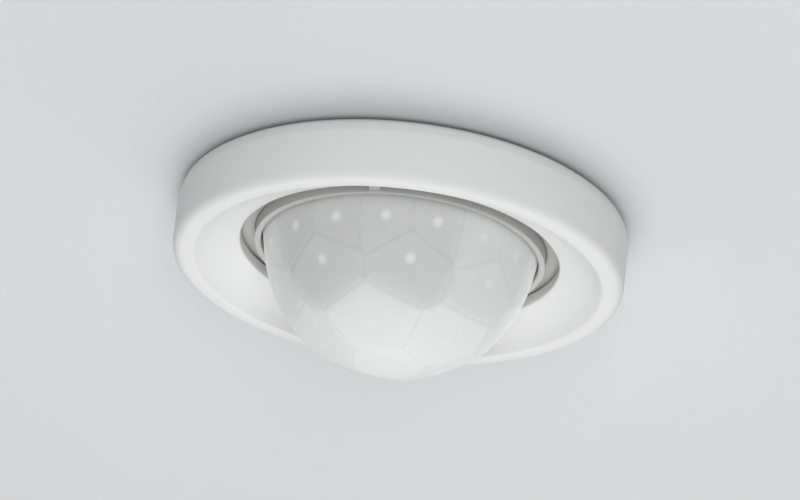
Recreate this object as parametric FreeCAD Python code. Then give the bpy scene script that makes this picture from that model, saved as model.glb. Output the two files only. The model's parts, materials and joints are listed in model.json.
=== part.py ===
import FreeCAD, Part
import math
import os

# Miniature ceiling motion sensor, drawn as it hangs: lens down, +Z up, in millimetres.
# The origin is on the underside of the panel that it is clamped to, in the middle of the hole.
# Below z = 0 is what a person sees. Above it are the neck, the nut and the rear cover.

# Cover ring
RING_D = 46.0
RIM_DEPTH = 7.1  # how far the rim hangs below the panel
SHADOW_GAP = 0.25  # between the ring's rear edge and the panel
RIM_ROUND = 1.9  # radius of the outer edge
REAR_EASE = 0.85  # the outer edge at the panel is rounded by this much inwards
REAR_FALL = 1.5  # and by this much down the wall
OPENING_R = 16.3
OPENING_DEPTH = 4.9  # the face is dished back to here at the opening
DISH_SAG = 0.25  # how far the dish bows from a straight cone
RING_WALL = 1.3
RING_LUGS = 4
LUG_WIDTH = 4.0

# Dome and collar
DOME_R = 14.1
DOME_WALL = 0.6
DOME_CENTRE_Z = -3.6
FOOT_R = 14.5  # flange at the foot of the dome
COLLAR_R = 14.85
COLLAR_FRONT_Z = -4.9
RECESS_SEAL_R = 17.0
RECESS_SEAL_T = 0.35
KEY_ANGLE = 213.9  # the collar's key, and the ring's notch for it
KEY_WIDTH = 1.2
KEY_LOW_Z = -4.7
KEY_HIGH_Z = -3.6
NOTCH_WIDTH = 2.2

# Housing
GASKET_T = 0.9
FLANGE_R = 21.5
BACK_PLATE = 1.0
PAN_WALL = 0.7
RIM_R = 16.0  # low wall round the collar, which hides the control board
RIM_HEIGHT = 1.2
NECK_R = 16.5
BORE_R = 15.0
LEDGE_R = 13.6
HOUSING_TOP = 17.5
PILLAR_R = 2.6
PILLAR_AT = 12.3
PILLAR_ANGLES = (35.0, 145.0)

# Boards
BOARD_R = 14.7
SENSOR_BOARD_T = 1.0
POWER_BOARD_Z = 11.0
POWER_BOARD_T = 1.4
CONTROL_BOARD_T = 0.8

# Rear cover and terminal block
COVER_TOP = 25.0
COVER_R = 16.2
BLOCK_LENGTH = 22.0
BLOCK_WIDTH = 8.5
BLOCK_TOP = 24.6
BLOCK_Y = -4.95
POLE_PITCH = 5.0
POLES = 4
WIRE_HOLE_R = 1.2
CHAMBER_LENGTH = 6.6
CHAMBER_WIDTH = 3.2
CHAMBER_TOP = 16.6

# Clamp
PANEL_T = 2.5
WASHER_T = 0.8
NUT_HEIGHT = 6.0
NUT_GRIPS = 12

# Clearances
FIT = 0.1  # radial, where one piece turns or slides on another
FREE = 0.2  # where two pieces only pass each other
TOUCH = 0.05  # between pieces that lie together

RING_R = RING_D / 2
RING_BORE_R = RING_R - RING_WALL
PAN_FLOOR_Z = -GASKET_T - BACK_PLATE
CONTROL_BOARD_Z = PAN_FLOOR_Z - CONTROL_BOARD_T
DIAL_AT = 18.9
DIAL_ANGLES = {"time_dial": 20.0, "brightness_dial": 72.0}
SWITCH_ANGLE = 46.0
POWER_BOARD_TOP = POWER_BOARD_Z + POWER_BOARD_T
SCREW_SEAT_Z = 16.5
POLE_XS = [(i - (POLES - 1) / 2) * POLE_PITCH for i in range(POLES)]
WIRE_HOLE_Y = -2.9
RELEASE_Y = -6.9
HEADER_Y = -11.6
HEADER_XS = [(i - 2) * 2.54 for i in range(5)]
LEAD_AT = 2.54

V = FreeCAD.Vector


def disc(r, z0, z1, x=0.0, y=0.0):
    return Part.makeCylinder(r, z1 - z0, V(x, y, z0))


def tube(r_in, r_out, z0, z1, x=0.0, y=0.0):
    return disc(r_out, z0, z1, x, y).cut(disc(r_in, z0, z1, x, y))


def block(dx, dy, z0, z1, x=0.0, y=0.0):
    """A box centred on x, y."""
    return Part.makeBox(dx, dy, z1 - z0, V(x - dx / 2, y - dy / 2, z0))


def polar(r, degrees):
    a = math.radians(degrees)
    return r * math.cos(a), r * math.sin(a)


def turned_to(shape, degrees):
    """The shape, which was drawn on the +X side, turned about Z."""
    shape.rotate(V(0, 0, 0), V(0, 0, 1), degrees)
    return shape


def revolved(path):
    """A body of revolution about Z. A step is (r, z), or (r, z, via_r, via_z) where an arc ends there."""
    here = V(path[0][0], 0, path[0][1])
    edges = []
    for step in path[1:] + [path[0]]:
        end = V(step[0], 0, step[1])
        if len(step) == 4:
            edges.append(Part.Arc(here, V(step[2], 0, step[3]), end).toShape())
        else:
            edges.append(Part.makeLine(here, end))
        here = end
    return Part.Face(Part.Wire(edges)).revolve(V(0, 0, 0), V(0, 0, 1), 360)


def drilled(shape, points, r, z0, z1):
    for x, y in points:
        shape = shape.cut(disc(r, z0, z1, x, y))
    return shape


def softened(shape, r, wanted):
    """The shape with a fillet on each edge that the test accepts."""
    return shape.makeFillet(r, [e for e in shape.Edges if wanted(e)])


def upright(edge):
    box = edge.BoundBox
    return box.ZLength > 0.1 and box.XLength < 1e-6 and box.YLength < 1e-6


def pillar_points():
    return [polar(PILLAR_AT, a) for a in PILLAR_ANGLES]


# ---- what is seen from below ----


def cover_ring():
    """Dished ring that snaps over the housing's flange."""
    crest_r = RING_R - RIM_ROUND
    bend = RIM_ROUND * (1 - math.sqrt(0.5))
    inwards, down = (v * (1 - math.sqrt(0.5)) for v in (REAR_EASE, REAR_FALL))
    lip = 0.35
    face_r = OPENING_R + lip
    face_mid_r = (crest_r + face_r) / 2
    face_mid_z = -(RIM_DEPTH + OPENING_DEPTH) / 2 + DISH_SAG
    back_z = -OPENING_DEPTH + RING_WALL
    path = [
        (RING_R - REAR_EASE, -SHADOW_GAP),
        (RING_R, -SHADOW_GAP - REAR_FALL, RING_R - inwards, -SHADOW_GAP - down),
        (RING_R, -RIM_DEPTH + RIM_ROUND),
        (crest_r, -RIM_DEPTH, RING_R - bend, -RIM_DEPTH + bend),
        (face_r, -OPENING_DEPTH, face_mid_r, face_mid_z),
        (OPENING_R, -OPENING_DEPTH + lip, OPENING_R + 0.1, -OPENING_DEPTH + 0.1),
        (OPENING_R, back_z),
        (RING_BORE_R - 0.8, -RIM_DEPTH + RING_WALL + 0.2),
        (RING_BORE_R, -RIM_DEPTH + RING_WALL + 0.9),
        (RING_BORE_R, -SHADOW_GAP),
    ]
    ring = revolved(path)
    lug = tube(FLANGE_R + FIT / 2, RING_BORE_R + TOUCH, -2.0, -1.4)
    for i in range(RING_LUGS):
        keep = turned_to(block(RING_R, LUG_WIDTH, -3.0, -1.0, RING_R / 2), 45 + 360 * i / RING_LUGS)
        ring = ring.fuse(lug.common(keep))
    notch = block(1.5, NOTCH_WIDTH, -RIM_DEPTH, back_z + 1, OPENING_R)
    ring = ring.cut(turned_to(notch, KEY_ANGLE))
    pry_slot = block(2 * RING_WALL, 3.0, -SHADOW_GAP - 0.8, 0, RING_R)
    return ring.cut(turned_to(pry_slot, KEY_ANGLE - 180 + 12)).removeSplitter()


def sealing_gasket():
    return tube(NECK_R + FREE, FLANGE_R - 0.3, -GASKET_T, 0)


def lens_collar():
    """Pressed into the neck to trap the foot of the dome. Its key sets the cover ring's angle."""
    skirt_r = BORE_R - TOUCH
    step_z = PAN_FLOOR_Z - 1.2
    nose = 0.3
    path = [
        (DOME_R + FIT, COLLAR_FRONT_Z),
        (COLLAR_R - nose, COLLAR_FRONT_Z),
        (COLLAR_R, COLLAR_FRONT_Z + nose, COLLAR_R - 0.09, COLLAR_FRONT_Z + 0.09),
        (COLLAR_R, step_z),
        (skirt_r, step_z),
        (skirt_r, -GASKET_T - TOUCH),
        (FOOT_R + FIT, -GASKET_T - TOUCH),
        (FOOT_R + FIT, -2.3),
        (DOME_R + FIT, -2.3),
    ]
    key_tip = OPENING_R + 0.2
    key_root = COLLAR_R - 0.3
    key = block(key_tip - key_root, KEY_WIDTH, KEY_LOW_Z, KEY_HIGH_Z, (key_tip + key_root) / 2)
    return revolved(path).fuse(turned_to(key, KEY_ANGLE)).removeSplitter()


def recess_seal():
    """Flat rubber ring round the collar, which closes the recess behind the ring's opening."""
    top = PAN_FLOOR_Z - RIM_HEIGHT - TOUCH
    return tube(COLLAR_R + TOUCH, RECESS_SEAL_R, top - RECESS_SEAL_T, top)


def dome_lens():
    """Thin dome with a short straight skirt and a foot flange."""
    inner = DOME_R - DOME_WALL
    half = math.sqrt(0.5)
    path = [
        (0, DOME_CENTRE_Z - DOME_R),
        (DOME_R, DOME_CENTRE_Z, DOME_R * half, DOME_CENTRE_Z - DOME_R * half),
        (DOME_R, -2.3),
        (FOOT_R, -2.3),
        (FOOT_R, -1.5),
        (inner, -1.5),
        (inner, DOME_CENTRE_Z),
        (0, DOME_CENTRE_Z - inner, inner * half, DOME_CENTRE_Z - inner * half),
    ]
    return revolved(path)


def lens_seal():
    return tube(LEDGE_R + TOUCH, FOOT_R, -1.5, -GASKET_T)


# ---- housing ----


def ribbon_slot():
    """The way that the ribbon takes from the pan, past the collar, into the neck."""
    near = BORE_R - 0.5
    far = NECK_R + FREE
    return block(3.8, far - near, CONTROL_BOARD_Z - 0.25, SENSOR_BOARD_T + 0.2, 0, (near + far) / 2)


def housing():
    """Pan with the control board, threaded neck, ledge for the lens seal and two board pillars."""
    body = tube(BORE_R, FLANGE_R, PAN_FLOOR_Z, -GASKET_T)
    body = body.fuse(tube(FLANGE_R - PAN_WALL, FLANGE_R, PAN_FLOOR_Z - 1.5, PAN_FLOOR_Z))
    body = body.fuse(tube(BORE_R, RIM_R, PAN_FLOOR_Z - RIM_HEIGHT, PAN_FLOOR_Z))
    body = body.fuse(tube(BORE_R, NECK_R, -GASKET_T, HOUSING_TOP))
    body = body.fuse(tube(LEDGE_R, BORE_R, -GASKET_T, 0))
    for x, y in pillar_points():
        pillar = disc(PILLAR_R, 0, POWER_BOARD_Z, x, y)
        body = body.fuse(pillar.common(disc(BORE_R + 0.5, 0, POWER_BOARD_Z)))
    body = drilled(body, pillar_points(), 0.95, 6.0, POWER_BOARD_Z)
    body = body.cut(ribbon_slot())
    return body.removeSplitter()


# ---- detector ----


def detector_header():
    base = disc(4.55, -0.5, 0)
    return drilled(base, lead_points(), 0.35, -0.5, 0)


def lead_points():
    return [polar(LEAD_AT, a) for a in (45.0, 165.0, 285.0)]


def detector_leads():
    return Part.makeCompound([disc(0.225, -1.2, 2.6, x, y) for x, y in lead_points()])


def detector_can():
    """Pressed metal cap with a rectangular aperture."""
    wall = 0.25
    can = disc(4.1, -4.3, -0.5).cut(disc(4.1 - wall, -4.3 + wall, -0.5))
    can = softened(can, 0.2, lambda e: abs(e.BoundBox.ZMin + 4.3) < 1e-6 and e.BoundBox.XLength > 8)
    return can.cut(block(4.0, 3.0, -4.4, -4.0))


def detector_window():
    return block(4.6, 3.6, -4.3 + 0.25, -4.3 + 0.65)


def pyro_element():
    """Ceramic plate on a small post."""
    return block(3.4, 2.6, -3.3, -2.9).fuse(block(2.0, 1.6, -2.9, -0.5)).removeSplitter()


# ---- boards ----


def header_points():
    return [(x, HEADER_Y) for x in HEADER_XS]


def terminal_pin_points():
    return [(x, BLOCK_Y) for x in POLE_XS]


def sensor_board():
    board = disc(BOARD_R, 0, SENSOR_BOARD_T)
    board = drilled(board, pillar_points(), PILLAR_R + FREE, 0, SENSOR_BOARD_T)
    board = drilled(board, lead_points(), 0.35, 0, SENSOR_BOARD_T)
    return drilled(board, header_points(), 0.4, 0, SENSOR_BOARD_T)


def daylight_sensor():
    return block(2.0, 1.3, -0.8, 0, -7.2, 3.4)


def status_led():
    return block(1.6, 0.8, -0.7, 0, 7.4, 3.0)


def microcontroller():
    return block(5.0, 5.0, SENSOR_BOARD_T, SENSOR_BOARD_T + 0.9, 0, 5.6)


def header_bar():
    bar = block(12.7, 2.5, SENSOR_BOARD_T, SENSOR_BOARD_T + 2.5, 0, HEADER_Y)
    return drilled(bar, header_points(), 0.4, SENSOR_BOARD_T, SENSOR_BOARD_T + 2.5)


def header_pins():
    top = POWER_BOARD_TOP + 0.8
    return Part.makeCompound([disc(0.32, -0.6, top, x, y) for x, y in header_points()])


def power_board():
    board = disc(BOARD_R, POWER_BOARD_Z, POWER_BOARD_TOP)
    board = drilled(board, pillar_points(), 1.2, POWER_BOARD_Z, POWER_BOARD_TOP)
    board = drilled(board, header_points(), 0.4, POWER_BOARD_Z, POWER_BOARD_TOP)
    return drilled(board, terminal_pin_points(), 0.6, POWER_BOARD_Z, POWER_BOARD_TOP)


def relay():
    body = block(15.0, 10.0, 3.0, POWER_BOARD_Z, 0, -3.5)
    return softened(body, 0.5, upright)


def film_capacitor():
    body = block(13.0, 4.8, POWER_BOARD_TOP, POWER_BOARD_TOP + 8.6, 0, 3.2)
    return softened(body, 0.4, upright)


def storage_capacitor():
    """Electrolytic can with its rolled groove."""
    z = POWER_BOARD_TOP
    r = 3.15
    groove = 1.9
    path = [
        (0, z),
        (r - 0.3, z),
        (r, z + 0.3),
        (r, z + groove - 0.4),
        (r, z + groove + 0.4, r - 0.3, z + groove),
        (r, z + 8.7),
        (r - 0.3, z + 9.0),
        (0, z + 9.0),
    ]
    can = revolved(path)
    can.translate(V(0, 9.6, 0))
    return can


def varistor():
    return Part.makeCylinder(3.5, 3.0, V(-3.6, 7.6, POWER_BOARD_Z - 4.0), V(0, 1, 0))


def fuse():
    return Part.makeCylinder(1.3, 6.2, V(0.7, 9.2, POWER_BOARD_Z - 1.4), V(1, 0, 0))


def bridge_rectifier():
    return block(3.8, 4.7, POWER_BOARD_Z - 2.6, POWER_BOARD_Z, 9.8, -5.5)


def control_board():
    """Ring-shaped board in the pan."""
    return tube(NECK_R + FREE, FLANGE_R - PAN_WALL - FREE, CONTROL_BOARD_Z, PAN_FLOOR_Z)


def ribbon_cable():
    """Flat strip from the control board's face, up past the collar, onto the sensor board."""
    t = 0.15
    inner_y = BORE_R + FIT
    low = block(3.0, 3.1, CONTROL_BOARD_Z - t, CONTROL_BOARD_Z, 0, inner_y + 1.55)
    rise = block(3.0, t, CONTROL_BOARD_Z - t, SENSOR_BOARD_T + t, 0, inner_y + t / 2)
    high = block(3.0, 2.6 + t, SENSOR_BOARD_T, SENSOR_BOARD_T + t, 0, inner_y + t - 1.3 - t / 2)
    return low.fuse(rise).fuse(high).removeSplitter()


# ---- controls ----


def dial_base(angle):
    base = block(3.4, 3.4, CONTROL_BOARD_Z - 0.5, CONTROL_BOARD_Z, DIAL_AT)
    base = base.cut(disc(0.6, CONTROL_BOARD_Z - 0.5, CONTROL_BOARD_Z, DIAL_AT))
    return turned_to(base, angle)


def dial_bases():
    return Part.makeCompound([dial_base(a) for a in DIAL_ANGLES.values()])


def dial(angle):
    """Small trimmer rotor with a screwdriver slot and a short stem."""
    top = CONTROL_BOARD_Z - 0.6
    rotor = disc(1.5, top - 0.5, top, DIAL_AT)
    rotor = rotor.fuse(disc(0.5, top, top + 0.5, DIAL_AT))
    slot = block(2.2, 0.5, top - 0.5, top - 0.2, DIAL_AT)
    return turned_to(rotor.cut(slot).removeSplitter(), angle)


def time_dial():
    return dial(DIAL_ANGLES["time_dial"])


def brightness_dial():
    return dial(DIAL_ANGLES["brightness_dial"])


def test_switch():
    base = block(3.2, 3.2, CONTROL_BOARD_Z - 0.9, CONTROL_BOARD_Z, DIAL_AT)
    well = disc(1.0, CONTROL_BOARD_Z - 0.9, CONTROL_BOARD_Z - 0.1, DIAL_AT)
    return turned_to(base.cut(well), SWITCH_ANGLE)


def test_button():
    plunger = disc(0.9, CONTROL_BOARD_Z - 1.3, CONTROL_BOARD_Z - 0.5, DIAL_AT)
    plunger = softened(plunger, 0.15, lambda e: abs(e.BoundBox.ZMax - CONTROL_BOARD_Z + 1.3) < 1e-6)
    return turned_to(plunger, SWITCH_ANGLE)


# ---- rear ----


def terminal_block():
    """Push-in block: each pole has a funnelled wire hole, a release well and a contact chamber."""
    body = block(BLOCK_LENGTH, BLOCK_WIDTH, POWER_BOARD_TOP, BLOCK_TOP, 0, BLOCK_Y)
    body = softened(body, 0.5, upright)
    for x in POLE_XS:
        body = body.cut(disc(WIRE_HOLE_R, CHAMBER_TOP, BLOCK_TOP, x, WIRE_HOLE_Y))
        mouth = Part.makeCone(WIRE_HOLE_R, WIRE_HOLE_R + 0.5, 0.6, V(x, WIRE_HOLE_Y, BLOCK_TOP - 0.6))
        body = body.cut(mouth)
        body = body.cut(block(2.6, 3.0, BLOCK_TOP - 5.0, BLOCK_TOP, x, RELEASE_Y))
        body = body.cut(block(CHAMBER_WIDTH, CHAMBER_LENGTH, POWER_BOARD_TOP, CHAMBER_TOP, x, BLOCK_Y))
    for x in POLE_XS[:-1]:
        body = body.cut(block(0.5, BLOCK_WIDTH, BLOCK_TOP - 0.7, BLOCK_TOP, x + POLE_PITCH / 2, BLOCK_Y))
    return body


def terminal_contact(x, y):
    """Metal cage that clamps the wire, with a solder pin through the board."""
    wall = 0.5
    foot = POWER_BOARD_TOP + TOUCH
    length = CHAMBER_LENGTH - 2 * FREE
    width = CHAMBER_WIDTH - 2 * FREE
    cage = block(width, length, foot, CHAMBER_TOP - FREE, x, y)
    cage = cage.cut(block(width - 2 * wall, length - 2 * wall, foot + wall, CHAMBER_TOP, x, y))
    return cage.fuse(disc(0.5, POWER_BOARD_Z, foot + wall, x, y)).removeSplitter()


def terminal_contacts():
    return Part.makeCompound([terminal_contact(x, y) for x, y in terminal_pin_points()])


def release_button(x):
    """Sprung button, pressed with a screwdriver, that opens one pole."""
    body = block(2.2, 2.6, BLOCK_TOP - 3.6, BLOCK_TOP + 0.8, x, RELEASE_Y)
    body = softened(body, 0.25, lambda e: abs(e.BoundBox.ZMin - BLOCK_TOP - 0.8) < 1e-6)
    return body.cut(block(1.4, 0.6, BLOCK_TOP + 0.4, BLOCK_TOP + 0.8, x, RELEASE_Y))


def rear_cover():
    """Cap over the power board, with a window for the terminal block and two screw wells."""
    chamfer = 0.9
    roof = 1.6
    spigot_z = HOUSING_TOP - 2.2
    spigot_r = BORE_R - FIT
    path = [
        (0, COVER_TOP),
        (COVER_R - chamfer, COVER_TOP),
        (COVER_R, COVER_TOP - chamfer),
        (COVER_R, HOUSING_TOP),
        (spigot_r, HOUSING_TOP),
        (spigot_r, spigot_z),
        (spigot_r - 1.0, spigot_z),
        (spigot_r - 1.0, COVER_TOP - roof),
        (0, COVER_TOP - roof),
    ]
    cap = revolved(path)
    foot_z = POWER_BOARD_TOP + TOUCH
    for x, y in pillar_points():
        cap = cap.fuse(disc(2.45, foot_z, COVER_TOP - 0.5, x, y))
    cap = drilled(cap, pillar_points(), 1.95, SCREW_SEAT_Z, COVER_TOP)
    cap = drilled(cap, pillar_points(), 1.1, foot_z, SCREW_SEAT_Z)
    cap = cap.cut(block(BLOCK_LENGTH + 0.6, BLOCK_WIDTH + 0.6, foot_z, COVER_TOP, 0, BLOCK_Y))
    for i in range(3):
        cap = cap.cut(block(8.0, 0.9, COVER_TOP - roof, COVER_TOP, 0, 8.6 + 1.9 * i))
    return cap.removeSplitter()


def cover_screw(x, y):
    shank = disc(0.9, SCREW_SEAT_Z - 9.0, SCREW_SEAT_Z, x, y)
    head = disc(1.8, SCREW_SEAT_Z, SCREW_SEAT_Z + 1.4, x, y)
    top = SCREW_SEAT_Z + 1.4
    head = softened(head, 0.4, lambda e: abs(e.BoundBox.ZMin - top) < 1e-6)
    cross = block(2.2, 0.5, top - 0.8, top, x, y).fuse(block(0.5, 2.2, top - 0.8, top, x, y))
    return head.fuse(shank).cut(cross).removeSplitter()


def cover_screws():
    return Part.makeCompound([cover_screw(x, y) for x, y in pillar_points()])


def clamp_washer():
    return tube(NECK_R + FREE, FLANGE_R - FREE, PANEL_T, PANEL_T + WASHER_T)


def ring_nut():
    """Ring nut with rounded grips round its edge."""
    z0 = PANEL_T + WASHER_T + TOUCH
    z1 = z0 + NUT_HEIGHT
    body = disc(19.6, z0, z1)
    for i in range(NUT_GRIPS):
        x, y = polar(19.0, 360 * i / NUT_GRIPS)
        body = body.fuse(disc(2.2, z0, z1, x, y))
    body = body.removeSplitter()
    body = softened(body, 0.5, lambda e: abs(e.BoundBox.ZMin - z1) < 1e-6)
    body = body.cut(disc(NECK_R + FIT, z0, z1))
    lead_in = Part.makeCone(NECK_R + FIT + 0.6, NECK_R + FIT, 0.6, V(0, 0, z0))
    return body.cut(lead_in)


NODES = {
    "cover_ring": cover_ring,
    "sealing_gasket": sealing_gasket,
    "lens_collar": lens_collar,
    "recess_seal": recess_seal,
    "dome_lens": dome_lens,
    "lens_seal": lens_seal,
    "housing": housing,
    "detector_header": detector_header,
    "detector_leads": detector_leads,
    "detector_can": detector_can,
    "detector_window": detector_window,
    "pyro_element": pyro_element,
    "sensor_board": sensor_board,
    "daylight_sensor": daylight_sensor,
    "status_led": status_led,
    "microcontroller": microcontroller,
    "header_bar": header_bar,
    "header_pins": header_pins,
    "power_board": power_board,
    "relay": relay,
    "film_capacitor": film_capacitor,
    "storage_capacitor": storage_capacitor,
    "varistor": varistor,
    "fuse": fuse,
    "bridge_rectifier": bridge_rectifier,
    "control_board": control_board,
    "ribbon_cable": ribbon_cable,
    "dial_bases": dial_bases,
    "time_dial": time_dial,
    "brightness_dial": brightness_dial,
    "test_switch": test_switch,
    "test_button": test_button,
    "terminal_block": terminal_block,
    "terminal_contacts": terminal_contacts,
    "rear_cover": rear_cover,
    "cover_screws": cover_screws,
    "clamp_washer": clamp_washer,
    "ring_nut": ring_nut,
}

os.makedirs("parts", exist_ok=True)
for name, make in NODES.items():
    make().exportStep(f"parts/{name}.step")
for number, pole_x in enumerate(POLE_XS, 1):
    release_button(pole_x).exportStep(f"parts/release_button_{number}.step")
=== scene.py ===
import json
import math

import bmesh
import bpy
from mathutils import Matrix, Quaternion, Vector


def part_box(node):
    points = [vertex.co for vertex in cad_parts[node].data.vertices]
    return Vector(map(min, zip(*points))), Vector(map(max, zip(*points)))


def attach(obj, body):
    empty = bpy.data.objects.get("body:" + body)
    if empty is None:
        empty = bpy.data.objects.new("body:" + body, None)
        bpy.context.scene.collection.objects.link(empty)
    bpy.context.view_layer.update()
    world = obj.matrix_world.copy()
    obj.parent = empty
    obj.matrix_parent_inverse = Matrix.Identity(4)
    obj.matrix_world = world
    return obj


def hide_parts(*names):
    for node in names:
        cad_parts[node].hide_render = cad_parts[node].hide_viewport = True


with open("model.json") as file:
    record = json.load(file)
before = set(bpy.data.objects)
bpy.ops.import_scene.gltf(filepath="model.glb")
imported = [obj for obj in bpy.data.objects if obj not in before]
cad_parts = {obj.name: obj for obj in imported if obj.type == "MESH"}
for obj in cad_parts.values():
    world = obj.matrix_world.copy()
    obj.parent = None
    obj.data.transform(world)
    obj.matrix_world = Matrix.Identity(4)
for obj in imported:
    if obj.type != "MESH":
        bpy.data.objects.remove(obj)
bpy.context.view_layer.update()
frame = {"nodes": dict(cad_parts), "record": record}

# Sizes are in millimetres, in the frame of the CAD model: lens down, z = 0 on the panel's underside.
MM = 0.001


def box_mm(node):
    """Low and high corner of a CAD node's box."""
    low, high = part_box(node)
    return [v / MM for v in low], [v / MM for v in high]


RING_LOW, RING_HIGH = box_mm("cover_ring")
RING_R = RING_HIGH[0]
RIM_Z = RING_LOW[2]
RING_BACK_Z = RING_HIGH[2]
RIM_ROUND = 1.9
# The ring's rear edge is rounded over this much of its radius and this much of its height.
REAR_EASE = 0.85
REAR_FALL = 1.5
RING_WALL = 1.3
OPENING_R = 16.3
OPENING_Z = -4.9
DISH_SAG = 0.25
KEY_ANGLE = 213.9
KEY_WIDTH = 1.2
NOTCH_WIDTH = 2.2
NOTCH_DEPTH = 0.75
PRY_ANGLE = 45.9
PRY_WIDTH = 3.0
PRY_DEPTH = 0.8

DOME_LOW, DOME_HIGH = box_mm("dome_lens")
DOME_R = 14.1
DOME_WALL = 0.6
DOME_CENTRE_Z = DOME_LOW[2] + DOME_R
FOOT_R = DOME_HIGH[0]
FOOT_LOW_Z = -2.3
FOOT_HIGH_Z = -1.5
FOOT_BORE_R = 12.8
# Outer facets carry painted shade: a little all round, most in two opposite quarters, one of them facing
# the camera. The first quarter starts at this angle.
SHADED_QUARTER_FROM = 161.0
# Facets are a little flatter than the dome, and meet its sphere this many degrees from their middles.
FACET_FLATTENING = 0.22
FACET_EDGE = 21
SEAM_WIDTH = 0.14
SEAM_DEPTH = 0.05

COLLAR_LOW, COLLAR_HIGH = box_mm("lens_collar")
COLLAR_R = 14.85
COLLAR_STEP_Z = -3.1
KEY_LOW_Z = -4.7
KEY_HIGH_Z = -3.6

HOUSING_LOW, HOUSING_HIGH = box_mm("housing")
FLANGE_R = HOUSING_HIGH[0]
FLANGE_BACK_Z = -0.9
NECK_R = 16.5
NECK_GAP = 0.2
BORE_R = 15.0
LEDGE_R = 13.6
PAN_WALL = 0.7
PAN_FLOOR_Z = -1.9
PAN_RIM_R = 16.0
PAN_RIM_Z = HOUSING_LOW[2] + 0.3
PILLAR_R = 2.6
PILLAR_BORE_R = 0.95
PILLAR_HEIGHT = 11.0
PILLAR_AT = 12.3
PILLAR_ANGLES = (35.0, 145.0)
THREAD_PITCH = 2.0
THREAD_DEPTH = 0.75
THREAD_SPAN = (0.6, 17.0)
THREAD_FADE = 1.2
THREAD_STEP = 0.1

NUT_LOW, NUT_HIGH = box_mm("ring_nut")
NUT_BORE_R = 16.6
NUT_DISC_R = 19.6
NUT_LIMIT_R = 21.2
NUT_GRIPS = 12
GRIP_R = 2.2
GRIP_AT = 19.0

PANEL_LOW_Z, PANEL_HIGH_Z = 0.0, 2.5
PANEL_R = 102.0
PANEL_HOLE_R = 16.9
FLOOR_Z = -640.0
FLOOR_HALF = 6000

# The camera looks up at the panel from the near side, and leans a little.
CAMERA_AZIMUTH = -43.9
CAMERA_ELEVATION = -24.2
CAMERA_ROLL = 6.63
CAMERA_DISTANCE = 1.332
CAMERA_LENS = 590.0
AIM_Z = -4.4


# ---- outlines and meshes ----


def sweep_between(first, last):
    """The angle of the first arm, and the shorter turn from it to the last one."""
    base = math.atan2(first.y, first.x)
    return base, (math.atan2(last.y, last.x) - base + math.pi) % (2 * math.pi) - math.pi


def arc_through(start, via, end, steps):
    """Points of the arc from start to end, both left out."""
    a, b, c = (Vector(p) for p in (start, via, end))
    d = 2 * (a.x * (b.y - c.y) + b.x * (c.y - a.y) + c.x * (a.y - b.y))
    sq = [p.length_squared for p in (a, b, c)]
    centre = Vector(
        (
            (sq[0] * (b.y - c.y) + sq[1] * (c.y - a.y) + sq[2] * (a.y - b.y)) / d,
            (sq[0] * (c.x - b.x) + sq[1] * (a.x - c.x) + sq[2] * (b.x - a.x)) / d,
        )
    )
    base, sweep = sweep_between(a - centre, c - centre)
    radius = (a - centre).length
    points = []
    for i in range(1, steps):
        t = base + sweep * i / steps
        points.append((centre.x + radius * math.cos(t), centre.y + radius * math.sin(t), 0))
    return points


def eased(corners, steps=4):
    """A closed outline: each corner (r, z, ease) becomes an arc of about that radius."""
    out = []
    for i, (r, z, ease) in enumerate(corners):
        p = Vector((r, z))
        to_last = Vector(corners[i - 1][:2]) - p
        to_next = Vector(corners[(i + 1) % len(corners)][:2]) - p
        if not ease:
            out.append((r, z))
            continue
        half = to_last.angle(to_next, math.pi) / 2
        if half > math.radians(88):
            out.extend([(r, z)] * (steps + 1))
            continue
        reach = min(ease / math.tan(half), 0.48 * to_last.length, 0.48 * to_next.length)
        ease = reach * math.tan(half)
        u, v = to_last.normalized(), to_next.normalized()
        centre = p + (u + v).normalized() * (ease / math.sin(half))
        base, sweep = sweep_between(p + u * reach - centre, p + v * reach - centre)
        for k in range(steps + 1):
            t = base + sweep * k / steps
            out.append((centre.x + ease * math.cos(t), centre.y + ease * math.sin(t)))
    return out


def window(degrees, centre, width, at_r, ramp=0.12):
    """1 inside a slot of this width at this radius, 0 outside, with a short ramp between."""
    gap = abs((degrees - centre + 180) % 360 - 180)
    distance = math.radians(gap) * at_r - width / 2
    return min(max(0.5 - distance / ramp, 0.0), 1.0)


def angles_round(count, *slots):
    """Even angles, with extra ones at the sides of each slot (centre, width, at_r)."""
    beside = 0.07
    angles = [360 * i / count for i in range(count)]
    for centre, width, at_r in slots:
        for side in (-1, 1):
            for k in (-1.0, -0.4, 0.4, 1.0):
                offset = side * (width / 2) + k * beside
                angles.append((centre + math.degrees(offset / at_r)) % 360)
    return sorted(angles)


def finished(name, bm, crease=32):
    """Welds, orients and shades a bmesh, and links it as an object."""
    bmesh.ops.remove_doubles(bm, verts=bm.verts, dist=0.0004 * MM)
    bmesh.ops.recalc_face_normals(bm, faces=bm.faces)
    mesh = bpy.data.meshes.new(name)
    bm.to_mesh(mesh)
    bm.free()
    mesh.polygons.foreach_set("use_smooth", [True] * len(mesh.polygons))
    mesh.set_sharp_from_angle(angle=math.radians(crease))
    obj = bpy.data.objects.new(name, mesh)
    bpy.context.scene.collection.objects.link(obj)
    return obj


def lathe(name, section_at, angles, crease=32, centre=(0, 0)):
    """Turns a closed outline about an upright axis. section_at gives the outline in mm for an angle."""
    bm = bmesh.new()
    rows = []
    for degrees in angles:
        a = math.radians(degrees)
        c, s = math.cos(a), math.sin(a)
        row = []
        for r, z in section_at(degrees):
            row.append(bm.verts.new(((centre[0] + r * c) * MM, (centre[1] + r * s) * MM, z * MM)))
        rows.append(row)
    count = len(rows[0])
    for i, row in enumerate(rows):
        after = rows[(i + 1) % len(rows)]
        for k in range(count):
            j = (k + 1) % count
            bm.faces.new((row[k], after[k], after[j], row[j]))
    return finished(name, bm, crease)


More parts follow.
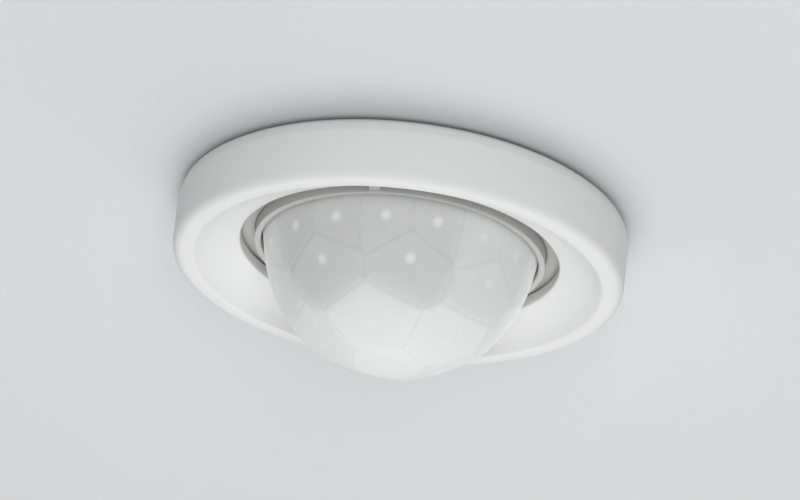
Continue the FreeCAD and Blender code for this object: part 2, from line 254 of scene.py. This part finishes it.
def turned(name, corners, count=192, centre=(0, 0)):
    """Turns one eased outline all the way round."""
    outline = eased(corners)
    return lathe(name, lambda degrees: outline, angles_round(count), centre=centre)


def flat_ring(node, inner_r, material, inner_low, outer_low, outer_high, inner_high):
    """A flat ring as wide and high as its CAD node, with an ease in mm for each of its four edges."""
    low, high = box_mm(node)
    corners = [
        (inner_r, low[2], inner_low),
        (high[0], low[2], outer_low),
        (high[0], high[2], outer_high),
        (inner_r, high[2], inner_high),
    ]
    place(turned(node + "_piece", corners), material, node)


def refined(node, ease):
    """A copy of a CAD node whose edges are eased by this many mm, to stand for it."""
    source = frame["nodes"][node]
    bm = bmesh.new()
    bm.from_mesh(source.data)
    bmesh.ops.remove_doubles(bm, verts=bm.verts, dist=0.002 * MM)
    bmesh.ops.dissolve_limit(
        bm, angle_limit=math.radians(0.6), verts=bm.verts, edges=bm.edges, use_dissolve_boundaries=False
    )
    obj = finished(node + "_piece", bm)
    bevel = obj.modifiers.new("eased_edges", "BEVEL")
    bevel.width = ease * MM
    bevel.segments = 2
    bevel.limit_method = "ANGLE"
    bevel.angle_limit = math.radians(40)
    bevel.use_clamp_overlap = True
    bevel.harden_normals = True
    return obj


def body_of_node(node):
    """Name of the moving body that a CAD node belongs to."""
    for body, nodes in frame["record"]["behaviour"]["bodies"].items():
        if node in nodes:
            return body


def place(obj, material, node):
    """Gives a piece its material and the body of the CAD node that it stands for, and hides that node.
    """
    obj.data.materials.clear()
    obj.data.materials.append(material)
    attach(obj, body_of_node(node))
    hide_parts(node)


# ---- materials ----


class Shader:
    """A node tree with one Principled shader, and short ways to add to it."""

    def __init__(self, name, colour, roughness, **sockets):
        self.material = bpy.data.materials.new(name)
        self.material.use_nodes = True
        self.tree = self.material.node_tree
        self.surface = self.tree.nodes["Principled BSDF"]
        self.surface.inputs["Base Color"].default_value = (*colour, 1)
        self.surface.inputs["Roughness"].default_value = roughness
        for socket, value in sockets.items():
            self.surface.inputs[socket.replace("_", " ")].default_value = value
        self.place = self.tree.nodes.new("ShaderNodeTexCoord").outputs["Object"]

    def node(self, kind, **values):
        made = self.tree.nodes.new("ShaderNode" + kind)
        for key, value in values.items():
            setattr(made, key, value)
        return made

    def link(self, source, target):
        self.tree.links.new(source, target)

    def noise(self, scale, detail=2.0, stretch=(1, 1, 1), rough=0.5):
        """Noise of this many features per metre."""
        mapping = self.node("Mapping")
        mapping.inputs["Scale"].default_value = stretch
        self.link(self.place, mapping.inputs["Vector"])
        made = self.node("TexNoise")
        made.inputs["Scale"].default_value = scale
        made.inputs["Detail"].default_value = detail
        made.inputs["Roughness"].default_value = rough
        self.link(mapping.outputs["Vector"], made.inputs["Vector"])
        return made.outputs["Fac"]

    def attribute(self, name):
        return self.node("Attribute", attribute_name=name).outputs["Fac"]

    def maths(self, operation, a, b=None, c=None):
        made = self.node("Math", operation=operation)
        for socket, value in zip(made.inputs, (a, b, c)):
            if value is None:
                continue
            if isinstance(value, (int, float)):
                socket.default_value = value
            else:
                self.link(value, socket)
        return made.outputs[0]

    def spread(self, source, low, high, to_low, to_high):
        """Maps low to to_low and high to to_high, and stops there."""
        made = self.node("MapRange")
        self.link(source, made.inputs["Value"])
        limits = {"From Min": low, "From Max": high, "To Min": to_low, "To Max": to_high}
        for socket, value in limits.items():
            made.inputs[socket].default_value = value
        return made.outputs["Result"]

    def mixed(self, share, first, second):
        """A colour between first and second, each of them a colour or a socket."""
        made = self.node("Mix", data_type="RGBA")
        self.link(share, made.inputs[0])
        for socket, value in ((made.inputs[6], first), (made.inputs[7], second)):
            if isinstance(value, tuple):
                socket.default_value = (*value, 1)
            else:
                self.link(value, socket)
        return made.outputs[2]

    def colour(self, source):
        self.link(source, self.surface.inputs["Base Color"])

    def roughness(self, source):
        self.link(source, self.surface.inputs["Roughness"])

    def bump(self, height, depth):
        """Adds relief of this depth in mm where height goes from 0 to 1."""
        made = self.node("Bump")
        made.inputs["Strength"].default_value = 1.0
        made.inputs["Distance"].default_value = depth * MM
        self.link(height, made.inputs["Height"])
        target = self.surface.inputs["Normal"]
        if target.is_linked:
            self.link(target.links[0].from_socket, made.inputs["Normal"])
        self.link(made.outputs["Normal"], target)


def moulded(name, colour, roughness, grain=0.012, grain_scale=2600, shift=0.03, **sockets):
    """Moulded plastic: spark-eroded grain, faint flow marks and patchy gloss."""
    s = Shader(name, colour, roughness, **sockets)
    grain_noise = s.noise(grain_scale, 3.0, rough=0.65)
    flow = s.noise(60, 3.0, stretch=(1, 1, 2.5))
    handling = s.noise(220, 4.0, rough=0.6)
    darker = tuple(c * (1 - shift) for c in colour)
    lighter = tuple(min(c * (1 + shift * 0.6), 1.0) for c in colour)
    s.colour(s.mixed(s.spread(flow, 0.35, 0.65, 0, 1), darker, lighter))
    s.roughness(s.spread(handling, 0.3, 0.75, roughness - 0.06, roughness + 0.09))
    s.bump(grain_noise, grain)
    return s.material


def rubber(name, colour, roughness=0.8):
    """Foamed or pressed rubber with open cells."""
    s = Shader(name, colour, roughness)
    cells = s.node("TexVoronoi")
    cells.inputs["Scale"].default_value = 3200
    s.link(s.place, cells.inputs["Vector"])
    pores = s.spread(cells.outputs["Distance"], 0.0, 0.55, 0, 1)
    s.colour(s.mixed(pores, tuple(c * 0.6 for c in colour), colour))
    s.bump(pores, 0.03)
    return s.material


def turned_metal(name, colour, roughness):
    """Plated metal with marks that run round the axis, and cloudy plating."""
    s = Shader(name, colour, roughness, Metallic=1.0)
    flat = s.node("VectorMath", operation="MULTIPLY")
    s.link(s.place, flat.inputs[0])
    flat.inputs[1].default_value = (1, 1, 0)
    length = s.node("VectorMath", operation="LENGTH")
    s.link(flat.outputs["Vector"], length.inputs[0])
    marks = s.node("TexNoise", noise_dimensions="1D")
    marks.inputs["Scale"].default_value = 9000
    marks.inputs["Detail"].default_value = 4
    s.link(length.outputs["Value"], marks.inputs["W"])
    cloud = s.noise(320, 3.0)
    s.colour(s.mixed(s.spread(cloud, 0.3, 0.7, 0, 1), tuple(c * 0.86 for c in colour), colour))
    s.roughness(s.spread(cloud, 0.3, 0.7, roughness - 0.05, roughness + 0.12))
    s.bump(marks.outputs["Fac"], 0.008)
    return s.material


def plain_metal(name, colour, roughness):
    """Metal with cloudy plating and no direction of its own."""
    s = Shader(name, colour, roughness, Metallic=1.0)
    cloud = s.noise(900, 3.0)
    s.colour(s.mixed(s.spread(cloud, 0.3, 0.7, 0, 1), tuple(c * 0.85 for c in colour), colour))
    s.roughness(s.spread(cloud, 0.3, 0.7, roughness - 0.06, roughness + 0.1))
    s.bump(s.noise(5000, 2.0), 0.004)
    return s.material


def circuit_board(name):
    """Green solder mask, lighter and raised over the copper tracks, with a faint weave."""
    mask = (0.012, 0.085, 0.04)
    track = (0.03, 0.16, 0.075)
    s = Shader(name, mask, 0.38)
    cells = s.node("TexVoronoi", feature="DISTANCE_TO_EDGE", distance="CHEBYCHEV")
    cells.inputs["Scale"].default_value = 620
    s.link(s.place, cells.inputs["Vector"])
    tracks = s.maths("LESS_THAN", cells.outputs["Distance"], 0.11)
    s.colour(s.mixed(tracks, mask, track))
    s.bump(tracks, 0.03)
    s.bump(s.noise(3500, 2.0), 0.006)
    s.roughness(s.spread(s.noise(500, 3.0), 0.3, 0.7, 0.3, 0.48))
    return s.material


def milky_lens(name):
    """Thin translucent polyethylene with narrow rings round each facet's middle and dull seams, and
    painted shade on the outer facets.
    """
    s = Shader(name, (0.88, 0.88, 0.88), 0.42, IOR=1.36, Subsurface_Weight=0.5, Subsurface_Scale=0.002)
    s.surface.inputs["Coat Weight"].default_value = 0.05
    s.surface.inputs["Coat Roughness"].default_value = 0.22
    s.surface.inputs["Sheen Weight"].default_value = 0.6
    s.surface.inputs["Sheen Roughness"].default_value = 0.35
    s.surface.inputs["Subsurface Radius"].default_value = (1.0, 1.0, 0.96)
    reach = s.attribute("facet_reach")
    seam = s.attribute("seam_gap")
    rings = s.maths("FRACT", s.maths("MULTIPLY", s.maths("POWER", reach, 1.35), 1.5))
    relief = s.maths("MULTIPLY", rings, s.spread(seam, 0.1, 0.3, 0, 1))
    s.bump(relief, 0.02)
    s.bump(s.noise(3000, 2.0), 0.003)
    eye = s.spread(reach, 0.25, 0.75, 1, 0)
    dull = s.spread(seam, 0.05, 0.22, 1, 0)
    # Painted shade: outer facets and their seams are darker, most in the quarter facing the camera and
    # in the one opposite.
    shade = s.attribute("painted_shade")
    plain_tone, shaded_tone = (0.79, 0.795, 0.79), (0.635, 0.64, 0.635)
    plain_seam, shaded_seam = (0.735, 0.74, 0.735), (0.59, 0.595, 0.59)
    eye_tone = (0.82, 0.82, 0.815)
    tone = s.mixed(shade, plain_tone, shaded_tone)
    seam_tone = s.mixed(shade, plain_seam, shaded_seam)
    s.colour(s.mixed(eye, s.mixed(dull, tone, seam_tone), eye_tone))
    s.roughness(s.spread(rings, 0, 1, 0.38, 0.48))
    return s.material


def painted(name, colour, roughness):
    """Smooth paint with a faint drift of tone and a fine grain."""
    s = Shader(name, colour, roughness)
    drift = s.spread(s.noise(9, 3.0), 0.3, 0.7, 0, 1)
    s.colour(s.mixed(drift, tuple(c * 0.985 for c in colour), colour))
    s.bump(s.noise(1500, 2.0), 0.004)
    # Smooth paint with a faint drift of tone and a very small grain.
    return s.material


RING_WHITE = moulded(
    "ring_plastic", (0.745, 0.745, 0.745), 0.48, grain=0.01, grain_scale=3200, shift=0.012
)
HOUSING_WHITE = moulded("housing_plastic", (0.76, 0.76, 0.75), 0.45, shift=0.02)
COVER_GREY = moulded(
    "cover_plastic", (0.40, 0.41, 0.42), 0.55, grain=0.03, grain_scale=1900
)
NUT_GREY = moulded(
    "nut_plastic", (0.075, 0.08, 0.085), 0.48, grain=0.02, grain_scale=2100, shift=0.1
)
TERMINAL_GREY = moulded("terminal_plastic", (0.28, 0.29, 0.30), 0.42)
ORANGE = moulded("button_plastic", (0.80, 0.18, 0.02), 0.38)
DIAL_ORANGE = moulded("dial_plastic", (0.85, 0.30, 0.04), 0.38)
CHIP_BLACK = moulded("chip_plastic", (0.02, 0.02, 0.022), 0.55, grain=0.015)
RELAY_BLUE = moulded("relay_plastic", (0.03, 0.06, 0.20), 0.3)
FILM_YELLOW = moulded("film_plastic", (0.62, 0.42, 0.04), 0.4)
CAN_BLACK = moulded("can_sleeve", (0.02, 0.025, 0.05), 0.25)
DISC_BLUE = moulded("disc_lacquer", (0.03, 0.10, 0.32), 0.25)
CERAMIC = moulded("ceramic", (0.76, 0.72, 0.64), 0.6)
CLEAR_EPOXY = moulded("diode_clear", (0.80, 0.78, 0.60), 0.12, Transmission_Weight=0.5)
WINDOW_DARK = moulded("window_filter", (0.03, 0.03, 0.04), 0.12, grain=0.002)
RIBBON = moulded("ribbon_film", (0.50, 0.22, 0.03), 0.25)
GASKET = rubber("gasket_rubber", (0.22, 0.22, 0.225))
SEAL = rubber("seal_rubber", (0.02, 0.02, 0.02), 0.6)
# Painted shade: a mid-grey ring put in the gap between the collar and the housing, where there is only
# shade.
SEAL_PAINTED_SHADE = moulded("seal_silicone", (0.45, 0.45, 0.44), 0.6, grain=0.006)
# Painted shade: the collar is mid grey to stand for the shade in the narrow gap round it.
COLLAR_PAINTED_SHADE = moulded("collar_painted_shade", (0.50, 0.50, 0.49), 0.45, grain=0.008)
ZINC = turned_metal("washer_steel", (0.62, 0.62, 0.61), 0.32)
SCREW = plain_metal("screw_steel", (0.60, 0.60, 0.58), 0.3)
NICKEL = plain_metal("detector_metal", (0.72, 0.69, 0.60), 0.28)
TINNED = plain_metal("pin_metal", (0.75, 0.72, 0.62), 0.3)
BOARD = circuit_board("board")
LENS = milky_lens("lens_plastic")
PANEL_PAINT = painted("panel_paint", (0.66, 0.665, 0.67), 0.5)
FLOOR_PAINT = painted("floor_paint", (0.80, 0.80, 0.80), 0.7)


# ---- what is seen from below ----


def cover_ring():
    """Ring with a rounded rim and a dished face, a notch for the key and a pry slot in its rear edge."""
    crest_r = RING_R - RIM_ROUND
    face_r = OPENING_R + 0.35
    mid = ((crest_r + face_r) / 2, (RIM_Z + OPENING_Z) / 2 + DISH_SAG)
    dish = arc_through((crest_r, RIM_Z), mid, (face_r, OPENING_Z), 8)
    dish_face = [p for p in dish if OPENING_R + 1.5 < p[0] < crest_r - 0.6]
    inner_r = RING_R - RING_WALL
    inner_z = RIM_Z + RING_WALL
    bend = 1 - math.sqrt(0.5)

    def section(degrees):
        open_r = OPENING_R + NOTCH_DEPTH * window(degrees, KEY_ANGLE, NOTCH_WIDTH, OPENING_R)
        back_z = RING_BACK_Z - PRY_DEPTH * window(degrees, PRY_ANGLE, PRY_WIDTH, RING_R)
        corners = [
            (RING_R - REAR_EASE, back_z, 0.15),
            (RING_R - REAR_EASE * bend, back_z - REAR_FALL * bend, 0.9),
            (RING_R, back_z - REAR_FALL, 0.9),
            (RING_R, RIM_Z, RIM_ROUND),
            (crest_r - 0.25, RIM_Z, 0.7),
            *dish_face,
            (open_r, OPENING_Z, 0.28),
            (open_r, OPENING_Z + RING_WALL, 0.15),
            (inner_r - 0.8, inner_z + 0.2, 0.3),
            (inner_r, inner_z + 0.9, 0.3),
            (inner_r, back_z, 0.15),
        ]
        return eased(corners, 5)

    slots = ((KEY_ANGLE, NOTCH_WIDTH, OPENING_R), (PRY_ANGLE, PRY_WIDTH, RING_R))
    ring = lathe("cover_ring_piece", section, angles_round(256, *slots))
    place(ring, RING_WHITE, "cover_ring")


def dome_direction(tilt, a):
    """Unit vector from the dome's centre, tilted by tilt from straight down, at the angle a round it."""
    return Vector((math.sin(tilt) * math.cos(a), math.sin(tilt) * math.sin(a), -math.cos(tilt)))


def facet_middles():
    """Direction of each Fresnel facet's middle, and how much painted shade it gets."""
    # Each tier has its tilt, its number of facets and the angle of the first one.
    tiers = ((0, 1, 0), (29, 5, 65.7), (60, 8, 6.5), (77, 16, 16.0))
    middles = []
    for tilt, count, first in tiers:
        for i in range(count):
            degrees = first + 360 * i / count
            middle = dome_direction(math.radians(tilt), math.radians(degrees))
            # Painted shade: all of it in two opposite quarters, a quarter of it on the other outer
            # facets.
            outer_shade = 1.0 if (degrees - SHADED_QUARTER_FROM) % 180 < 90 else 0.25
            middles.append((middle, outer_shade if tilt > 45 else 0.0))
    return middles


def dome_lens():
    """Dome with slightly flattened facets, parted by narrow seams."""
    middles = facet_middles()
    rise = 1.0 / math.cos(math.radians(FACET_EDGE)) ** FACET_FLATTENING
    centre = Vector((0, 0, DOME_CENTRE_Z))
    tilts = [90 * i / 96 for i in range(97)]
    around = 256
    bm = bmesh.new()
    reach_layer = bm.verts.layers.float.new("facet_reach")
    seam_layer = bm.verts.layers.float.new("seam_gap")
    # How much painted shade each corner gets, blended across the seams.
    shade_layer = bm.verts.layers.float.new("painted_shade")
    rows = []
    for degrees in tilts:
        t = math.radians(degrees)
        row = []
        for k in range(around):
            n = dome_direction(t, 2 * math.pi * k / around)
            near = sorted((n.angle(middle, 0.0), shade) for middle, shade in middles)[:2]
            (angle, shade), (next_angle, next_shade) = near
            seam = (next_angle - angle) / 2 * DOME_R
            shade += (next_shade - shade) * 0.5 * math.exp(-seam / 0.8)
            skirt_fade = min((90 - degrees) / 6, 1.0)
            flat = rise * math.cos(angle) ** FACET_FLATTENING
            r = DOME_R * (1 - skirt_fade * (1 - 1 / flat))
            r = min(r, DOME_R) - SEAM_DEPTH * math.exp(-((seam / SEAM_WIDTH) ** 2)) * skirt_fade
            v = bm.verts.new((n * r + centre) * MM)
            v[reach_layer] = angle * DOME_R
            v[shade_layer] = shade
            v[seam_layer] = seam
            row.append(v)
        rows.append(row)
    foot = [
        (DOME_R, FOOT_LOW_Z, 0.1),
        (FOOT_R, FOOT_LOW_Z, 0.1),
        (FOOT_R, FOOT_HIGH_Z, 0.1),
        (FOOT_BORE_R, FOOT_HIGH_Z, 0.1),
    ]
    for r, z in eased(foot, 2):
        rows.append(ring_row(bm, r, z, around))
    inner = DOME_R - DOME_WALL - 0.35
    for degrees in tilts[::-4]:
        t = math.radians(degrees)
        rows.append(ring_row(bm, inner * math.sin(t), DOME_CENTRE_Z - inner * math.cos(t), around))
    for row, after in zip(rows, rows[1:]):
        for k in range(around):
            j = (k + 1) % around
            bm.faces.new((row[k], row[j], after[j], after[k]))
    dome = finished("dome_lens_piece", bm, 50)
    place(dome, LENS, "dome_lens")


def ring_row(bm, r, z, around):
    """A level circle of this many corners about the axis."""
    row = []
    for k in range(around):
        a = 2 * math.pi * k / around
        row.append(bm.verts.new((r * math.cos(a) * MM, r * math.sin(a) * MM, z * MM)))
    return row


def lens_collar():
    """Collar round the foot of the dome, with one key that reaches into the ring's notch."""
    inner_r = DOME_R + 0.1
    skirt_r = BORE_R - 0.05
    key_reach = OPENING_R + 0.2 - COLLAR_R

    def section(degrees):
        tip = COLLAR_R + key_reach * window(degrees, KEY_ANGLE, KEY_WIDTH, OPENING_R, 0.1)
        corners = [
            (inner_r, COLLAR_LOW[2], 0.1),
            (COLLAR_R, COLLAR_LOW[2], 0.2),
            (COLLAR_R, KEY_LOW_Z, 0),
            (tip, KEY_LOW_Z, 0.12),
            (tip, KEY_HIGH_Z, 0.12),
            (COLLAR_R, KEY_HIGH_Z, 0),
            (COLLAR_R, COLLAR_STEP_Z, 0.1),
            (skirt_r, COLLAR_STEP_Z, 0.1),
            (skirt_r, COLLAR_HIGH[2], 0.1),
            (FOOT_R + 0.1, COLLAR_HIGH[2], 0.1),
            (FOOT_R + 0.1, FOOT_LOW_Z, 0.05),
            (inner_r, FOOT_LOW_Z, 0.1),
        ]
        return eased(corners, 3)

    angles = angles_round(192, (KEY_ANGLE, KEY_WIDTH, OPENING_R))
    collar = lathe("lens_collar_piece", section, angles)
    # Its grey is painted shade for the gap between the collar and the ring.
    place(collar, COLLAR_PAINTED_SHADE, "lens_collar")


def recess_seal():
    # A grey ring that puts painted shade into the gap round the collar.
    flat_ring("recess_seal", COLLAR_R + 0.05, SEAL_PAINTED_SHADE, 0.08, 0.12, 0.1, 0.08)


def sealing_gasket():
    flat_ring("sealing_gasket", NECK_R + NECK_GAP, GASKET, 0.1, 0.25, 0.25, 0.1)


# ---- housing and clamp ----


def thread_height(z, degrees):
    """0 at the thread's root and 1 at its crest, run out at both ends."""
    first, last = THREAD_SPAN
    turn = ((z - THREAD_PITCH * degrees / 360) / THREAD_PITCH) % 1.0
    flank = min(max((0.5 - abs(turn - 0.5)) * 4.2 - 0.45, 0.0), 1.0)
    run_in = min(max((z - first) / THREAD_FADE, 0.0), 1.0)
    run_out = min(max((last - z) / THREAD_FADE, 0.0), 1.0)
    fade = run_in * run_out
    return flank * fade + (1 - fade) * (1.0 if z > last - THREAD_FADE else 0.0)


def housing():
    """Pan behind the ring, threaded neck through the panel, and two pillars inside the neck."""
    first, last = THREAD_SPAN
    count = round((last - first) / THREAD_STEP)
    wall_r = FLANGE_R - PAN_WALL

    def section(degrees):
        root = NECK_R - THREAD_DEPTH
        thread = []
        for i in range(count + 1):
            z = first + THREAD_STEP * i
            thread.append((root + THREAD_DEPTH * thread_height(z, degrees), z, 0))
        corners = [
            (LEDGE_R, FLANGE_BACK_Z, 0.1),
            (BORE_R, FLANGE_BACK_Z, 0),
            (BORE_R, PAN_RIM_Z, 0.08),
            (PAN_RIM_R, PAN_RIM_Z, 0.12),
            (PAN_RIM_R, PAN_FLOOR_Z, 0.1),
            (wall_r, PAN_FLOOR_Z, 0.15),
            (wall_r, HOUSING_LOW[2], 0.12),
            (FLANGE_R, HOUSING_LOW[2], 0.12),
            (FLANGE_R, FLANGE_BACK_Z, 0.15),
            (root, FLANGE_BACK_Z, 0.1),
            *thread,
            (NECK_R, HOUSING_HIGH[2], 0.15),
            (BORE_R, HOUSING_HIGH[2], 0.1),
            (BORE_R, 0, 0),
            (LEDGE_R, 0, 0.1),
        ]
        return eased(corners, 3)

    shell = lathe("housing_piece", section, angles_round(216), crease=40)
    place(shell, HOUSING_WHITE, "housing")
    for i, degrees in enumerate(PILLAR_ANGLES, 1):
        a = math.radians(degrees)
        centre = (PILLAR_AT * math.cos(a), PILLAR_AT * math.sin(a))
        corners = [
            (PILLAR_BORE_R, 0, 0),
            (PILLAR_R, 0, 0.2),
            (PILLAR_R, PILLAR_HEIGHT, 0.15),
            (PILLAR_BORE_R, PILLAR_HEIGHT, 0.1),
        ]
        pillar = turned(f"board_pillar_{i}", corners, 48, centre=centre)
        place(pillar, HOUSING_WHITE, "housing")


def nut_edge(degrees):
    """Outer radius of the ring nut: a disc with rounded grips, blended softly where they meet."""
    step = 360 / NUT_GRIPS
    gap = math.radians((degrees + step / 2) % step - step / 2)
    inside = GRIP_R**2 - (GRIP_AT * math.sin(gap)) ** 2
    reach = GRIP_AT * math.cos(gap) + math.sqrt(inside) if inside > 0 else 0
    blend = 0.12
    # This is taken off both exponents and added back, which keeps the exponentials small.
    offset = 150
    disc = math.exp(NUT_DISC_R / blend - offset)
    grip = math.exp(reach / blend - offset)
    return blend * math.log(disc + grip) + offset * blend


def ring_nut():
    """Nut with twelve grips, and a shallow groove in its upper face."""
    low, high = NUT_LOW[2], NUT_HIGH[2]
    groove_z = high - 0.5
    groove_out, groove_in, slant = 19.0, 17.5, 0.25

    def section(degrees):
        edge = min(nut_edge(degrees), NUT_LIMIT_R)
        corners = [
            (NUT_BORE_R, low, 0.3),
            (edge, low, 0.2),
            (edge, high, 0.5),
            (groove_out, high, 0.15),
            (groove_out - slant, groove_z, 0.1),
            (groove_in + slant, groove_z, 0.1),
            (groove_in, high, 0.15),
            (NUT_BORE_R, high, 0.3),
        ]
        return eased(corners, 4)

    nut = lathe("ring_nut_piece", section, angles_round(NUT_GRIPS * 36), crease=36)
    place(nut, NUT_GREY, "ring_nut")


def clamp_washer():
    flat_ring("clamp_washer", NECK_R + NECK_GAP, ZINC, 0.08, 0.2, 0.25, 0.08)


def refined_pieces():
    """CAD nodes whose shape is right, with their edges eased."""
    for node, material, ease in (
        ("rear_cover", COVER_GREY, 0.25),
        ("cover_screws", SCREW, 0.08),
        ("terminal_block", TERMINAL_GREY, 0.1),
        ("release_button_1", ORANGE, 0.12),
        ("release_button_2", ORANGE, 0.12),
        ("release_button_3", ORANGE, 0.12),
        ("release_button_4", ORANGE, 0.12),
        ("time_dial", DIAL_ORANGE, 0.08),
        ("brightness_dial", DIAL_ORANGE, 0.08),
        ("dial_bases", CHIP_BLACK, 0.08),
        ("test_switch", CHIP_BLACK, 0.08),
        ("test_button", ORANGE, 0.06),
        ("control_board", BOARD, 0.06),
        ("sensor_board", BOARD, 0.06),
        ("power_board", BOARD, 0.06),
        ("relay", RELAY_BLUE, 0.2),
        ("film_capacitor", FILM_YELLOW, 0.3),
        ("microcontroller", CHIP_BLACK, 0.08),
        ("bridge_rectifier", CHIP_BLACK, 0.1),
        ("header_bar", CHIP_BLACK, 0.1),
    ):
        place(refined(node, ease), material, node)


def dressed_nodes():
    """CAD nodes that stay as they are, with their own materials."""
    for node, material in (
        ("lens_seal", SEAL),
        ("detector_header", NICKEL),
        ("detector_leads", TINNED),
        ("detector_can", NICKEL),
        ("detector_window", WINDOW_DARK),
        ("pyro_element", CERAMIC),
        ("daylight_sensor", CLEAR_EPOXY),
        ("status_led", CLEAR_EPOXY),
        ("header_pins", TINNED),
        ("storage_capacitor", CAN_BLACK),
        ("varistor", DISC_BLUE),
        ("fuse", CERAMIC),
        ("ribbon_cable", RIBBON),
        ("terminal_contacts", TINNED),
    ):
        obj = frame["nodes"][node]
        for slot in obj.material_slots:
            slot.material = material


# ---- stage ----


def panel():
    """Round piece of the panel that the sensor is clamped to."""
    gap = 0.01
    corners = [
        (PANEL_HOLE_R, PANEL_LOW_Z + gap, 0.1),
        (PANEL_R, PANEL_LOW_Z + gap, 0.4),
        (PANEL_R, PANEL_HIGH_Z - gap, 0.4),
        (PANEL_HOLE_R, PANEL_HIGH_Z - gap, 0.1),
    ]
    obj = turned("panel", corners, 256)
    obj.data.materials.append(PANEL_PAINT)


def floor():
    """A wide, pale floor far below the panel."""
    mesh = bpy.data.meshes.new("floor")
    corners = [(-1, -1), (1, -1), (1, 1), (-1, 1)]
    points = [(x * FLOOR_HALF * MM, y * FLOOR_HALF * MM, FLOOR_Z * MM) for x, y in corners]
    mesh.from_pydata(points, [], [(0, 1, 2, 3)])
    obj = bpy.data.objects.new("floor", mesh)
    obj.data.materials.append(FLOOR_PAINT)
    bpy.context.scene.collection.objects.link(obj)


def from_camera(turn, rise):
    """A direction, turned this many degrees from the camera's side and raised from the horizon."""
    a, e = math.radians(CAMERA_AZIMUTH + turn), math.radians(rise)
    return Vector((math.sin(a) * math.cos(e), -math.cos(a) * math.cos(e), math.sin(e)))


def soft_light(name, turn, rise, distance, size, watts, mirrored=True):
    """A round lamp that faces the sensor. Those that aren't mirrored stay out of reflections."""
    data = bpy.data.lights.new(name, "AREA")
    data.shape = "DISK"
    data.size = size
    data.energy = watts
    obj = bpy.data.objects.new(name, data)
    obj.location = from_camera(turn, rise) * distance
    obj.rotation_mode = "QUATERNION"
    obj.rotation_quaternion = obj.location.to_track_quat("Z", "Y")
    obj.visible_camera = False
    obj.visible_glossy = mirrored
    bpy.context.scene.collection.objects.link(obj)


def lights():
    """An even, dim world, lamps below that shape the ring and the lens, and two above for the rear."""
    world = bpy.data.worlds.new("studio")
    world.use_nodes = True
    background = world.node_tree.nodes["Background"]
    background.inputs["Color"].default_value = (0.98, 0.99, 1.0, 1)
    background.inputs["Strength"].default_value = 0.28
    bpy.context.scene.world = world
    soft_light("near_below", 0, -55, 0.6, 0.5, 0.35, mirrored=False)
    soft_light("near_low", 5, -20, 0.8, 0.3, 2.5, mirrored=False)
    soft_light("far_below", 180, -60, 0.6, 0.5, 1.3)
    soft_light("far_low", 170, -30, 0.6, 0.5, 0.5, mirrored=False)
    soft_light("right_low", 135, -28, 0.6, 0.5, 0.4)
    soft_light("left_low", -140, -28, 0.6, 0.5, 0.15)
    soft_light("above_left", -30, 50, 1.0, 0.5, 5.0)
    soft_light("above_right", 110, 40, 0.9, 0.6, 2.5)
    bpy.context.scene.view_settings.view_transform = "Standard"


def camera():
    data = bpy.data.cameras.new("camera")
    data.sensor_width = 36
    data.lens = CAMERA_LENS
    data.clip_start = 0.05
    data.clip_end = 20
    obj = bpy.data.objects.new("camera", data)
    back = from_camera(0, CAMERA_ELEVATION)
    obj.location = Vector((0, 0, AIM_Z * MM)) + back * CAMERA_DISTANCE
    obj.rotation_mode = "QUATERNION"
    roll = Quaternion((0, 0, 1), math.radians(CAMERA_ROLL))
    obj.rotation_quaternion = back.to_track_quat("Z", "Y") @ roll
    bpy.context.scene.collection.objects.link(obj)
    bpy.context.scene.camera = obj


camera()
lights()
panel()
floor()
cover_ring()
dome_lens()
lens_collar()
recess_seal()
sealing_gasket()
housing()
ring_nut()
clamp_washer()
refined_pieces()
dressed_nodes()
